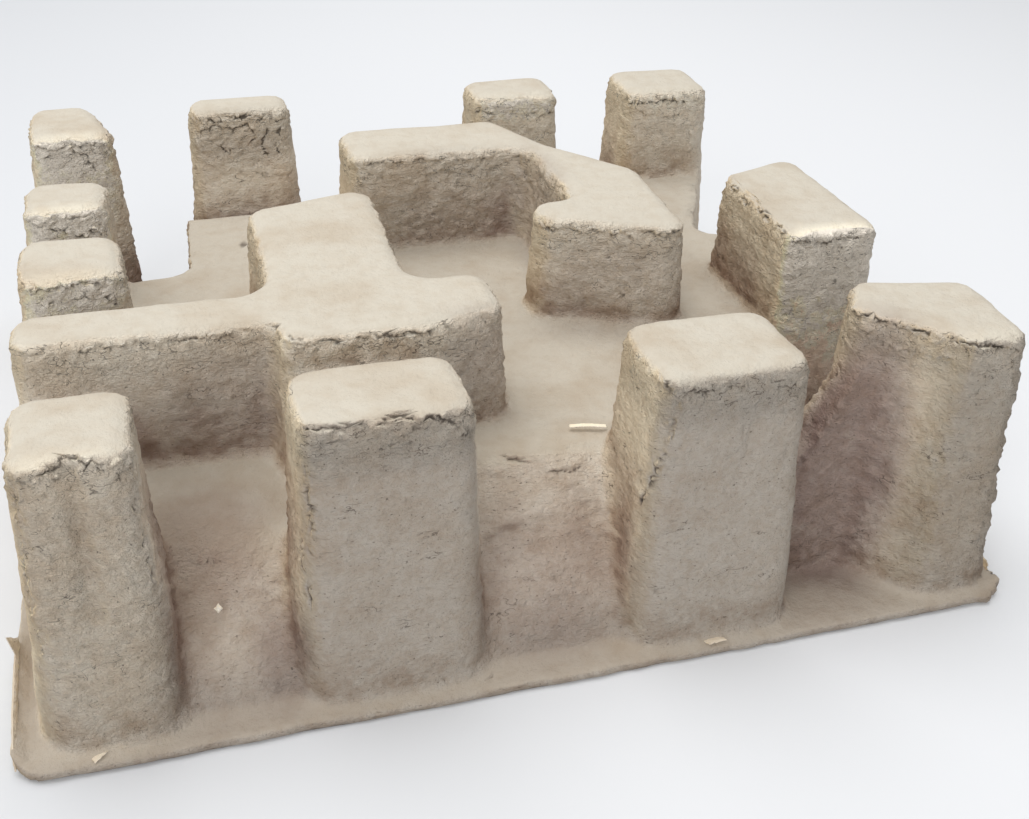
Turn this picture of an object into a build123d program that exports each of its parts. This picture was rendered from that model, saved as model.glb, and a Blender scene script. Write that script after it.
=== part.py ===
# A packing insert moulded in one piece from paper pulp. A thin plate carries a raised deck, and
# hollow towers stand up from both to hold a product between them. It is open underneath.
# Millimetres, +Z up, with the origin on the ground at the middle of the plate. Places in plan
# are measured from the plate's front left corner, and each outline is the one at the top.
from build123d import *

import os
from math import radians, tan

# The whole insert
insert_length = 345.0
insert_depth = 317.0
tower_height = 108.0
deck_height = 64.0
plate_corner_radius = 11.0

# The moulded wall, and the slope that lets it leave the mould
wall = 3.5
draft_angle = 3.0

# Rounding
tower_corner_radius = 8.0
inner_corner_radius = 12.0
tower_edge_round = 5.5
deck_edge_round = 12.0
# The share of the shorter side beside a corner that its rounding may take
corner_share = 0.45

# Distance of the outer towers' tops from the plate's edges
left_margin = 14.5
right_margin = 9.0
front_margin = 11.5
back_margin = 12.0

# Front row of towers, left to right
front_left_width = 34.0
front_left_depth = 38.5
front_second_place = 93.5
front_second_width = 52.5
front_second_depth = 35.5
front_third_place = 203.5
front_third_width = 52.5
front_third_depth = 40.0
front_right_width = 51.0
front_right_depth = 51.0
front_right_cut_width = 30.0
front_right_cut_depth = 31.0
front_right_side_skew = 9.0
front_right_back_skew = 11.0

# Low web from the right tower of that row to the third. Its top rises to the right tower
web_width = 63.0
web_depth = 14.0
web_height = 92.0
web_valley_height = 53.0
web_valley_round = 14.0
web_setback = 23.0
# Distances from the right tower's left corner
web_overlap = 18.0
web_rise_overlap = 5.0
web_valley_gap = 13.5

# Towers beside the cross and the hook, on the left and right sides
left_second_place = 124.0
left_second_width = 35.0
left_second_depth = 36.0
left_third_place = 184.0
left_third_width = 31.5
left_third_depth = 31.0
right_side_margin = 14.5
right_side_place = 100.5
right_side_width = 39.0
right_side_depth = 78.0
right_side_skew = 14.0

# Back row of towers, left to right
back_left_width = 37.5
back_left_depth = 44.0
back_left_skew = 12.0
back_second_place = 84.0
back_second_width = 45.0
back_second_depth = 21.5
back_third_place = 215.5
back_third_width = 41.0
back_third_depth = 29.0
back_right_margin = 12.5
back_right_width = 42.0
back_right_depth = 36.0

# Cross-shaped tower, and the low saddle that joins it to the second tower of the front row
cross_front = 64.0
cross_arm_front = 79.0
cross_arm_depth = 22.5
cross_stem_place = 96.0
cross_stem_width = 49.0
cross_right_reach = 26.0
cross_right_front = 71.0
cross_right_depth = 28.5
cross_back = 183.0
cross_back_skew = 13.0
saddle_height = 94.0
saddle_inset = 4.0
saddle_overlap = 10.5

# Hooked tower: a bar across the insert, a neck, and a block that faces the front
hook_bar_place = 144.5
hook_bar_front = 214.0
hook_bar_depth = 35.0
hook_neck_place = 222.5
hook_block_place = 204.5
hook_block_front = 116.0
hook_block_skew = 21.0
hook_block_depth = 38.5
hook_right = 259.0
hook_cut_front = 178.0
hook_cut_place = 231.5
hook_bar_end = 215.5

# The deck, and the ramps that its walls make to the front and to the back
deck_left = 20.0
deck_right_margin = 18.0
deck_front_end = 250.0
deck_step = 108.0
deck_right_back = 197.0
deck_notch_end = 297.5
deck_back_end = 331.0
deck_back_start = 75.0
deck_back_skew = 4.0
deck_left_back = 208.0
ramp_margin = 11.0
ramp_reach = 37.0
ramp_run_out = 14.0

# The softer, lower ramp between the left and the second tower of the front row
soft_ramp_side_overlap = 24.5
soft_ramp_bend_place = 47.5
soft_ramp_bend_height = 50.5
soft_ramp_back_overlap = 11.0
soft_ramp_back_height = 61.5
soft_ramp_round = 40.0

plan = Plane(origin=(-insert_length / 2, -insert_depth / 2, 0))
side = Plane(origin=plan.origin, x_dir=(0, 1, 0), z_dir=(1, 0, 0))
elevation = Plane(origin=plan.origin, x_dir=(1, 0, 0), z_dir=(0, -1, 0))


def box_outline(left, front, width, depth):
    """The four corners of a plain block."""
    right = left + width
    back = front + depth
    return [(left, front), (right, front), (right, back), (left, back)]


def corner_radii(outline):
    """The radius of each corner, as large as the two sides beside it leave room for."""
    radii = []
    for index, corner in enumerate(outline):
        before = Vector(*corner) - Vector(*outline[index - 1])
        after = Vector(*outline[(index + 1) % len(outline)]) - Vector(*corner)
        wanted = tower_corner_radius if before.cross(after).Z > 0 else inner_corner_radius
        room = corner_share * min(before.length, after.length)
        radii.append(min(wanted, room / tan(radians(before.get_angle(after)) / 2)))
    return radii


def drafted_block(outline, height, inset):
    """A block from the ground up, whose sides lean in to the outline at the block's top.

    With an inset it is the core of that block, smaller all round and lower by the inset.
    """
    with BuildPart() as block:
        with BuildSketch(plan):
            with BuildLine():
                FilletPolyline(*outline, radius=corner_radii(outline), close=True)
            make_face()
            offset(amount=height * tan(radians(draft_angle)) - inset, kind=Kind.ARC)
        extrude(amount=height - inset, taper=draft_angle)
    return block.part


def tower_block(outline):
    """A drafted block as tall as a tower, with its top edges rounded over."""
    with BuildPart() as block:
        add(drafted_block(outline, tower_height, 0))
        fillet(block.faces().sort_by(Axis.Z)[-1].edges(), tower_edge_round)
    return block.part


def soft_ramp_cut(inset):
    """What the softer ramp leaves out of the deck's block, or out of its core."""
    slope = (soft_ramp_bend_place - ramp_margin) / (soft_ramp_bend_height - wall)
    foot = ramp_margin - slope * (wall + ramp_run_out)
    soft_ramp_back = cross_arm_front + soft_ramp_back_overlap
    with BuildPart() as block:
        with BuildSketch(side) as profile:
            with BuildLine():
                Polyline((foot, -ramp_run_out), (soft_ramp_bend_place, soft_ramp_bend_height),
                         (soft_ramp_back, soft_ramp_back_height), (soft_ramp_back, tower_height),
                         (-insert_depth, tower_height), (-insert_depth, -ramp_run_out), close=True)
            make_face()
            bend = (soft_ramp_bend_place, soft_ramp_bend_height)
            fillet(profile.vertices().sort_by_distance(bend)[0], soft_ramp_round)
            offset(amount=inset)
        extrude(amount=front_second_place + soft_ramp_side_overlap)
    return block.part


def deck_block(inset):
    """The deck's block or its core: the deck's outline, cut to the profile of its ramps."""
    slope = ramp_reach / (deck_height - wall)
    foot = ramp_margin - slope * (wall + ramp_run_out)
    top = ramp_margin + ramp_reach
    back = insert_depth
    with BuildPart() as block:
        add(drafted_block(deck_outline, deck_height, inset))
        with BuildSketch(side) as profile:
            with BuildLine():
                Polyline((foot, -ramp_run_out), (top, deck_height), (back - top, deck_height),
                         (back - foot, -ramp_run_out), close=True)
            make_face()
            fillet(profile.vertices().group_by(Axis.Z)[-1], deck_edge_round)
            offset(amount=-inset)
        extrude(amount=insert_length, mode=Mode.INTERSECT)
        add(soft_ramp_cut(inset), mode=Mode.SUBTRACT)
    return block.part


def web_block(inset):
    """The web's block or its core: a drafted block, cut to the valley of the web's top."""
    with BuildPart() as block:
        add(drafted_block(web, web_height, inset))
        with BuildSketch(elevation) as profile:
            with BuildLine():
                Polyline((0, -wall), (insert_length, -wall), (insert_length, web_height),
                         (web_rise_place, web_height), (web_valley_place, web_valley_height),
                         (0, web_valley_height), close=True)
            make_face()
            offset(amount=-inset)
            fillet(profile.vertices().sort_by_distance((web_valley_place, web_valley_height))[0],
                   web_valley_round + inset)
        extrude(amount=-insert_depth, mode=Mode.INTERSECT)
    return block.part


# Outlines of the towers
right_edge = insert_length - right_margin
back_edge = insert_depth - back_margin

front_left = box_outline(left_margin, front_margin, front_left_width, front_left_depth)
front_second = box_outline(front_second_place, front_margin, front_second_width, front_second_depth)
front_third = box_outline(front_third_place, front_margin, front_third_width, front_third_depth)
front_right_place = right_edge - front_right_width
front_right_back = front_margin + front_right_depth
front_right = [
    (front_right_place + front_right_cut_width, front_margin),
    (right_edge, front_margin),
    (right_edge, front_right_back - front_right_side_skew),
    (front_right_place + front_right_back_skew, front_right_back),
    (front_right_place, front_margin + front_right_cut_depth),
]
web_place = front_right_place + web_overlap - web_width
web_rise_place = front_right_place + web_rise_overlap
web_valley_place = front_right_place - web_valley_gap
web = box_outline(web_place, front_margin + web_setback, web_width, web_depth)
left_second = box_outline(left_margin, left_second_place, left_second_width, left_second_depth)
left_third = box_outline(left_margin, left_third_place, left_third_width, left_third_depth)
right_side_right = insert_length - right_side_margin
right_side_left = right_side_right - right_side_width
right_side_back = right_side_place + right_side_depth
right_side = [
    (right_side_left, right_side_place),
    (right_side_right, right_side_place),
    (right_side_right, right_side_back),
    (right_side_left, right_side_back - right_side_skew),
]
back_left_front = back_edge - back_left_depth
back_left = [
    (left_margin, back_left_front),
    (left_margin + back_left_width, back_left_front),
    (left_margin + back_left_width - back_left_skew, back_edge),
    (left_margin, back_edge),
]
back_second = box_outline(
    back_second_place, back_edge - back_second_depth, back_second_width, back_second_depth)
back_third = box_outline(
    back_third_place, back_edge - back_third_depth, back_third_width, back_third_depth)
back_right_place = insert_length - back_right_margin - back_right_width
back_right = box_outline(
    back_right_place, back_edge - back_right_depth, back_right_width, back_right_depth)

cross_stem_right = cross_stem_place + cross_stem_width
cross_right = cross_stem_right + cross_right_reach
cross_right_back = cross_right_front + cross_right_depth
cross_arm_back = cross_arm_front + cross_arm_depth
cross = [
    (left_margin, cross_arm_front),
    (cross_stem_place, cross_arm_front),
    (cross_stem_place, cross_front),
    (cross_stem_right, cross_front),
    (cross_right, cross_right_front),
    (cross_right, cross_right_back),
    (cross_stem_right, cross_right_back),
    (cross_stem_right, cross_back),
    (cross_stem_place, cross_back - cross_back_skew),
    (cross_stem_place, cross_arm_back),
    (left_margin, cross_arm_back),
]
saddle_front = front_margin + front_second_depth - saddle_overlap
saddle = box_outline(
    cross_stem_place + saddle_inset,
    saddle_front,
    cross_stem_width - 2 * saddle_inset,
    cross_front + saddle_overlap - saddle_front,
)

hook_block_back = hook_block_front + hook_block_depth
hook_bar_back = hook_bar_front + hook_bar_depth
hook = [
    (hook_bar_place, hook_bar_front),
    (hook_neck_place, hook_bar_front),
    (hook_neck_place, hook_block_back),
    (hook_block_place, hook_block_back),
    (hook_block_place, hook_block_front + hook_block_skew),
    (hook_right, hook_block_front),
    (hook_right, hook_cut_front),
    (hook_cut_place, hook_bar_front),
    (hook_bar_end, hook_bar_back),
    (hook_bar_place, hook_bar_back),
]

deck_right = insert_length - deck_right_margin
deck_outline = [
    (deck_left, 0),
    (deck_front_end, 0),
    (deck_front_end, deck_step),
    (deck_right, deck_step),
    (deck_right, deck_right_back),
    (deck_notch_end, deck_right_back),
    (deck_back_end, back_edge - back_right_depth),
    (deck_back_end, insert_depth),
    (deck_back_start + deck_back_skew, insert_depth),
    (deck_back_start, deck_left_back),
    (deck_left, deck_left_back),
]

towers = [
    front_left, front_second, front_third, front_right, left_second, left_third, right_side,
    back_left, back_second, back_third, back_right, cross, hook,
]

# The outer form, in the open air
with BuildPart() as outer_form:
    with BuildSketch():
        RectangleRounded(insert_length, insert_depth, plate_corner_radius)
    extrude(amount=wall)
    add(deck_block(0))
    add(drafted_block(saddle, saddle_height, 0))
    add(web_block(0))
    for outline in towers:
        add(tower_block(outline))

# The hollows inside it, which open to the ground
with BuildPart() as hollows:
    add(deck_block(wall))
    add(drafted_block(saddle, saddle_height, wall))
    add(web_block(wall))
    for outline in towers:
        add(drafted_block(outline, tower_height, wall))

with BuildPart() as pulp_insert:
    add(outer_form.part)
    add(hollows.part, mode=Mode.SUBTRACT)

pulp_insert.part.label = "pulp_insert"
os.makedirs("parts", exist_ok=True)
export_step(pulp_insert.part, "parts/pulp_insert.step")
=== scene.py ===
"""Looks of a moulded pulp packing insert: its shell, its torn skin and flakes, and its studio.

Sizes are in millimetres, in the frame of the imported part: +Z up, the ground at 0, the front
towards -Y. They are turned into metres only where a mesh, a lamp or the camera is made.
"""

import logging
import math
from dataclasses import dataclass, field
from enum import Enum, IntEnum

import bmesh
import bpy
import numpy as np
from mathutils import Matrix, Vector


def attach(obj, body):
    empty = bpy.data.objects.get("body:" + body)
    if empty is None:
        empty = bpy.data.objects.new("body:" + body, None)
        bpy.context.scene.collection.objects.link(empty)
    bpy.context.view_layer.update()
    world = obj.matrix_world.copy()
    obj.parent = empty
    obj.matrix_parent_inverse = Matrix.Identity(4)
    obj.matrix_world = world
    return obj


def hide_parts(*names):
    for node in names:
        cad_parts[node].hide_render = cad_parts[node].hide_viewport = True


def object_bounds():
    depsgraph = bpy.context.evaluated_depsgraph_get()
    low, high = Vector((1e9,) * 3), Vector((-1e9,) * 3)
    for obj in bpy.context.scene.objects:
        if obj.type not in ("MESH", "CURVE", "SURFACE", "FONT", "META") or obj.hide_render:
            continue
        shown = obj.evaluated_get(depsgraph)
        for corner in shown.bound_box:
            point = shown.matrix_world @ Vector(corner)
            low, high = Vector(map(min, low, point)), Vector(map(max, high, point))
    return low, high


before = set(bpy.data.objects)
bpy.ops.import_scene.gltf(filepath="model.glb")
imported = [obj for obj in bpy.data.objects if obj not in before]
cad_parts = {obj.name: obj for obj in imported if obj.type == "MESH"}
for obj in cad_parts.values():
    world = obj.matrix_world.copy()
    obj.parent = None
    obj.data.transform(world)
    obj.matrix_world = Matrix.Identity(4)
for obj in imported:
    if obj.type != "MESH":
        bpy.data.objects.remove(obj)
CAD_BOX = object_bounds()

LOG = logging.getLogger("pulp_insert")
NODE = "pulp_insert"
BODY = "root"
MM = 0.001
Socket = bpy.types.NodeSocket
# The plate's front left corner, from which tears, dents, surface patches and flakes are measured
CORNER = np.array((CAD_BOX[0][0] / MM, CAD_BOX[0][1] / MM, 0.0))


class Side(Enum):
    """The skin of the shell that a point belongs to."""

    OUTER = 1.0
    INNER = 0.0


def smooth_step(low: float, high: float, value: np.ndarray) -> np.ndarray:
    """Rises from 0 at low to 1 at high, or falls where high lies lower: 3t^2 - 2t^3."""
    share = np.clip((value - low) / (high - low), 0.0, 1.0)
    return share * share * (3.0 - 2.0 * share)


class Layer(IntEnum):
    """The random fields that shape the shell, as what each adds to the shell's seed."""

    BEND = 0
    PILLOWS = 10
    FOLDS = 11
    FOLD_PRESENCE = 12
    PILLOW_WARP = 14
    SLOW = 15
    STREAKS = 16
    FRAY = 20
    CURL = 21
    TEAR_PATH = 30
    TEAR_STRENGTH = 31
    LEDGES = 40
    SCALES = 50
    CHIPS = 51


class Noise:
    """A smooth random field in space, the same on each run.

    Each corner of a unit lattice has a random slope. A point's value is the smooth blend of the
    eight corners around it, each giving its slope times the point's distance from it.
    """

    TABLE = 256
    FULL_RANGE = 1.6
    LAYER_SHIFT = 17.3

    def __init__(self, seed: int) -> None:
        """Draws the lattice's random slopes."""
        rng = np.random.default_rng(seed)
        self.order = np.tile(rng.permutation(self.TABLE), 2)
        slopes = rng.normal(size=(self.TABLE, 3))
        self.slopes = slopes / np.linalg.norm(slopes, axis=1, keepdims=True)

    def at(self, points: np.ndarray) -> np.ndarray:
        """The field's value at each point, in lattice units: between about -1 and 1."""
        cell = np.floor(points).astype(int)
        inside = points - cell
        cell = np.mod(cell, self.TABLE)
        fade = inside ** 3 * (inside * (inside * 6.0 - 15.0) + 10.0)
        total = np.zeros(len(points))
        for dx in (0, 1):
            for dy in (0, 1):
                for dz in (0, 1):
                    first = self.order[np.mod(cell[:, 0] + dx, self.TABLE)]
                    second = self.order[first + np.mod(cell[:, 1] + dy, self.TABLE)]
                    index = self.order[second + np.mod(cell[:, 2] + dz, self.TABLE)]
                    corner = np.array((dx, dy, dz))
                    weight = np.prod(np.where(corner == 1, fade, 1.0 - fade), axis=1)
                    total += weight * np.sum(self.slopes[index] * (inside - corner), axis=1)
        return total * self.FULL_RANGE

    def layered(self, points: np.ndarray, layers: int, gain: float = 0.5) -> np.ndarray:
        """The sum of the field at doubling fineness, each layer weaker by the gain."""
        total = np.zeros(len(points))
        weight = 1.0
        for layer in range(layers):
            total += weight * self.at(points * 2.0 ** layer + self.LAYER_SHIFT * layer)
            weight *= gain
        return total


class Surroundings:
    """The highest point of the insert over each cell of a plan grid, in millimetres."""

    CELL = 2.0
    MARGIN = 12.0
    DISTANCES = (6.0, 12.0, 20.0, 32.0, 48.0, 70.0, 100.0)
    DIRECTIONS = 8
    AHEAD = 4.5
    FOOT_AHEAD = 6.0
    LEVEL = 1.5

    def __init__(self, points: np.ndarray) -> None:
        """Reads the heights from a mesh's points."""
        self.low = points.min(0)[:2] - self.MARGIN
        size = (points.max(0)[:2] - self.low + self.MARGIN) / self.CELL
        self.heights = np.zeros(np.ceil(size).astype(int))
        place = self.cells(points[:, :2])
        np.maximum.at(self.heights, (place[:, 0], place[:, 1]), points[:, 2])

    def cells(self, plan: np.ndarray) -> np.ndarray:
        """The cell that each plan place lies in."""
        place = ((plan - self.low) / self.CELL).astype(int)
        return np.clip(place, 0, np.array(self.heights.shape) - 1)

    def at(self, plan: np.ndarray) -> np.ndarray:
        """The height over each plan place."""
        place = self.cells(plan)
        return self.heights[place[:, 0], place[:, 1]]

    def outer(self, points: np.ndarray, normals: np.ndarray) -> np.ndarray:
        """The Side of each point: outer where nothing is higher a little in front of it."""
        above = self.at(points[:, :2] + normals[:, :2] * self.AHEAD)
        return np.where(points[:, 2] + self.LEVEL >= above, Side.OUTER.value, Side.INNER.value)

    def shelter(self, points: np.ndarray, normals: np.ndarray) -> np.ndarray:
        """How much of the sky the surroundings hide from each point, and 0 in the open.

        In each of eight directions the steepest rise over a few distances gives the horizon. Its
        sine is weighed by how far the surface faces that way.

        Args:
            points: points on the shell.
            normals: their normals.

        Returns:
            The shelter of each point.
        """
        total = np.zeros(len(points))
        weights = np.zeros(len(points))
        for turn in np.arange(self.DIRECTIONS) * 2.0 * math.pi / self.DIRECTIONS:
            way = np.array((math.cos(turn), math.sin(turn)))
            weight = np.clip(normals[:, :2] @ way, 0.0, 1.0) + 0.35 * np.abs(normals[:, 2])
            rise = np.zeros(len(points))
            for distance in self.DISTANCES:
                beyond = self.at(points[:, :2] + way * distance)
                rise = np.maximum(rise, (beyond - points[:, 2] - 1.0) / distance)
            total += weight * rise / np.sqrt(1.0 + rise ** 2)
            weights += weight
        return total / np.maximum(weights, 1e-9)

    def foot(self, points: np.ndarray, normals: np.ndarray) -> np.ndarray:
        """How near each point of a steep wall is to the wall's foot: 1 at the foot itself."""
        ground = self.at(points[:, :2] + normals[:, :2] * self.FOOT_AHEAD)
        steep = smooth_step(0.45, 0.25, np.abs(normals[:, 2]))
        return steep * smooth_step(18.0, 2.0, points[:, 2] - ground)


@dataclass
class MeshData:
    """A mesh as whole arrays: points in millimetres and faces as point indices."""

    points: np.ndarray
    faces: list

    def to_object(self, name: str) -> bpy.types.Object:
        """Makes the mesh object, in metres, and puts it into the scene."""
        mesh = bpy.data.meshes.new(name)
        mesh.from_pydata((self.points * MM).tolist(), [], self.faces)
        mesh.update()
        made = bpy.data.objects.new(name, mesh)
        bpy.context.scene.collection.objects.link(made)
        return made


@dataclass(frozen=True)
class Tear:
    """A crack where the skin above has lifted off the skin below.

    The path's points are measured from the plate's front left corner, and from the ground.
    """

    path: tuple
    lift: float = 0.9
    drop: float = 0.7
    reach: float = 3.0
    wander: float = 1.3


TEARS = (
    Tear(((15, 16, 106), (18.6, 13, 105), (24.8, 11.5, 104.3), (31, 14.5, 107.2),
          (36.8, 13, 106.4), (42.4, 12, 105.5), (46.5, 13.5, 102.2)), 1.0, 0.8),
    Tear(((40, 11.2, 104), (43.9, 12, 101.1), (45.5, 12.8, 94)), 0.5, 0.7),
    Tear(((49.2, 40, 74.7), (49.7, 37.9, 65.2), (50.4, 33.2, 52.8), (51.5, 32.9, 39.2)), 0.6, 0.8),
    Tear(((95.6, 14.5, 105.5), (103.5, 15, 107.4), (111.7, 14.2, 107.2), (120.3, 14, 107),
          (128.6, 12.1, 105.4), (131, 12.6, 106.1), (135.8, 11.5, 104.3), (145, 13.5, 97.5)),
         1.1, 0.9, 3.6),
    Tear(((99, 11.4, 103.4), (106.6, 11.3, 103.0), (113, 11.2, 100.5), (120, 11.1, 99),
          (127, 11.2, 102.5)), 0.9, 0.5),
    Tear(((91.5, 17.3, 70), (92.2, 15.1, 59.3), (93.4, 12.0, 45.8)), 0.5, 0.8),
    Tear(((203.5, 16, 104.5), (207.3, 12.4, 103.5), (212.3, 11.3, 103.8), (220.9, 11.1, 101.5),
          (226.4, 11.2, 102.8), (232.9, 11.1, 102.3), (242.9, 11.1, 101.6), (253, 12.1, 99)),
         0.9, 0.9),
    Tear(((210.4, 11.3, 103), (209.7, 11.2, 99.9), (209.2, 11, 95), (208.5, 10.9, 86)), 0.4, 0.5),
    Tear(((206.1, 12.2, 87.4), (205.2, 12.5, 79.9), (204.6, 12.6, 72.7), (202.5, 14.6, 60)),
         0.5, 0.7),
    Tear(((233.4, 10.6, 91), (232.6, 10.2, 82.3), (230.7, 9.6, 71.4), (231.1, 8.8, 57.1)),
         0.7, 0.35),
    Tear(((246.9, 10.4, 92), (248.1, 10.1, 81.7), (249.9, 9.9, 70)), 0.4, 0.3),
    Tear(((284.5, 46, 104), (287.5, 42.2, 105), (291.6, 38, 105.5), (296.5, 31.5, 105.6),
          (301.5, 26, 105.2), (306.5, 20.6, 105.9), (312.1, 15, 105.5), (317.8, 11.7, 104.6),
          (323.4, 11.9, 105.2), (331.4, 11.5, 101.8)), 1.1, 1.0, 3.6),
    Tear(((286.2, 41.9, 99.4), (296.7, 30.6, 97.0), (308, 18.1, 98.1), (322.7, 11, 97.3)),
         0.7, 0.5),
    Tear(((285.1, 46, 97.4), (284.6, 44, 86.2), (284.5, 44.3, 76)), 0.5, 0.7),
    Tear(((292.5, 158, 104.9), (292.6, 145.6, 105.2), (292.9, 131.1, 105.6), (293.2, 118, 105.2),
          (294.6, 104, 104.7), (303, 100.9, 104.4), (313, 100.6, 103.1), (322, 100.9, 104.4)),
         0.9, 0.9),
    Tear(((206.5, 137, 103.3), (218.1, 131.9, 103.1), (232.3, 126.4, 102.4),
          (246.4, 121, 103.9), (257, 117, 103)), 0.8, 0.8),
    Tear(((150, 214.4, 104), (165.7, 214.2, 104.8), (187.3, 213.9, 103.4),
          (209.6, 213.7, 103.5), (221.1, 211, 103.1)), 0.8, 0.7),
    Tear(((94.2, 79, 104.4), (97.5, 70, 105.5), (104, 65, 105), (118, 64.4, 104.2),
          (134, 64.2, 104.6), (144.1, 65, 105.2)), 0.8, 0.8),
    Tear(((16.3, 80, 104.7), (29.6, 79.3, 104.4), (47.6, 79.2, 105.2), (65.9, 79.1, 104.3),
          (84.6, 79.1, 104.9)), 0.8, 0.8),
    Tear(((16.8, 124.6, 104.3), (26, 124.1, 104.1), (35.9, 124.2, 105.2), (45.4, 126.4, 104.9)),
         0.8, 0.7),
    Tear(((15.5, 186.3, 104), (25.2, 184.2, 104.1), (37.8, 184.3, 104.1)), 0.7, 0.6),
    Tear(((15.3, 264.5, 104.2), (24.2, 261.1, 103.6), (36.2, 260.9, 104.7), (44.9, 262, 104.4)),
         0.8, 0.7),
    Tear(((85, 286.6, 104.4), (92, 284.2, 104.2), (97, 284, 102.6), (105.2, 284.2, 104.4),
          (114.9, 284.2, 104.2), (125, 284, 102.6)), 1.0, 1.0, 3.4),
    Tear(((88.3, 283.5, 99.6), (95, 283.5, 102), (101.7, 283.5, 98.6), (109.4, 283.5, 101),
          (111.3, 283.5, 97.2)), 0.8, 0.9, 2.2, 0.8),
    Tear(((92.8, 283, 93.3), (99.4, 283, 88.7), (107.4, 283, 90.1), (111, 283, 94.6)),
         0.7, 0.9, 2.2, 0.8),
    Tear(((116.8, 283.5, 96.8), (114.8, 283.5, 91.4), (115.7, 283.5, 85.8)), 0.5, 1.0, 2.0, 0.8),
    Tear(((121.8, 283.5, 97.8), (123.5, 283.5, 92.8), (120.6, 283.5, 89.6), (123.6, 283.5, 85.8)),
         0.5, 1.0, 2.0, 0.8),
    Tear(((84.3, 287, 79.4), (99.1, 282.2, 76.2), (116.8, 282, 77.4), (128.9, 286, 76.1)),
         0.6, 0.5),
    Tear(((80, 232.6, 64), (93, 232.2, 64), (100, 236, 64)), 0.4, 0.7, 2.5),
    Tear(((20.6, 260.6, 99.7), (29.9, 260.6, 102.1), (38.3, 260.6, 99.5), (39.6, 260.6, 93.3)),
         0.7, 0.9, 2.4),
    Tear(((22.4, 183.6, 101), (29.9, 183.6, 99.4), (37.1, 183.6, 95.2), (41.3, 183.6, 99.2)),
         0.7, 0.9, 2.4),
    Tear(((23.1, 123.8, 99.2), (32.8, 123.8, 101.3), (41.8, 123.8, 99.2), (46.6, 124, 96.3)),
         0.7, 0.9, 2.4),
    Tear(((214.9, 278.1, 100.2), (222.2, 275.9, 101), (237.1, 275.7, 100), (252.6, 277.4, 98.6)),
         0.8, 0.7),
    Tear(((290.5, 272, 103), (297.5, 268.9, 103), (311.5, 268.9, 102.5), (327, 270, 101.5)),
         0.9, 0.9),
    Tear(((296.1, 268.6, 97.9), (308, 268.4, 96), (322.4, 268.4, 95.4)), 0.6, 0.6),
    Tear(((322.5, 268.3, 93.9), (324.1, 267.6, 76)), 0.6, 0.7),
    Tear(((12.4, 12.4, 99), (11.6, 11.2, 84), (10.8, 10.2, 66), (10.0, 9.0, 46)), 0.7, 0.7),
    Tear(((14.6, 10.9, 96), (13.6, 9.8, 76), (12.8, 8.9, 58)), 0.5, 0.5),
    Tear(((94.6, 12.2, 92), (93.4, 10.9, 77), (92.6, 10.1, 61)), 0.6, 0.5),
    Tear(((111.6, 0.3, 3.5), (119.6, 1.3, 3.5), (123.9, 0.2, 2.8)), 0.3, 0.8),
    Tear(((149.5, 8.4, 3.5), (154.3, 4.7, 3.5), (160.9, 0.3, 2.8)), 0.3, 0.6),
    Tear(((162.8, 49.2, 62.6), (173.5, 45.9, 60.1), (183.8, 44.4, 58.2), (196.1, 42.8, 57)),
         0.7, 0.7),
    Tear(((50.5, 11.5, 101.9), (51.5, 12, 93), (51.6, 12.5, 82.9), (51.9, 12.5, 73.2),
          (52.3, 12, 62.8), (52.7, 11.5, 52)), 0.3, 0.7),
    Tear(((17.5, 13, 103), (16.0, 12, 95), (16.1, 12, 83.4), (15.1, 11.5, 69.4), (13, 11, 55)),
         0.6, 0.6),
    Tear(((94.0, 13.5, 100), (94.5, 13, 88), (95.4, 13, 78), (95.6, 13, 65.2)), 0.6, 0.7),
    Tear(((62.3, 34, 55), (64.3, 38, 48), (67.9, 44, 42)), 0.3, 0.7),
    Tear(((64.3, 38, 48), (60.5, 40, 47)), 0.3, 0.6),
)


@dataclass(frozen=True)
class Dent:
    """A soft groove along a path that is measured as a tear's is."""

    path: tuple
    radius: float
    depth: float


DENTS = (
    Dent(((31.3, 12.0, 104), (31.6, 10.4, 92), (31.8, 9.6, 78), (31.2, 8.9, 66), (31.0, 8.5, 55)),
         3.0, 2.8),
    Dent(((236.2, 10.4, 90), (235.6, 9.9, 80), (233.8, 9.4, 68)), 2.6, 1.1),
    Dent(((318.0, 9.5, 80), (315.0, 8.5, 62)), 6.0, 0.8),
)


@dataclass(frozen=True)
class SurfacePatch:
    """A soft patch of the surface.

    The tone is above 0 where it is browner than the pulp around it, partly a real stain and partly
    painted shade, and below 0 where it is paler, which is painted light. The crust is how much
    more its skin has crumbled, and the rough how lumpy it is.
    """

    middle: tuple
    radii: tuple
    tone: float
    crust: float = 0.0
    rough: float = 0.0


# Browner patches are partly real stains and partly painted shade; paler ones are painted light
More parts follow.
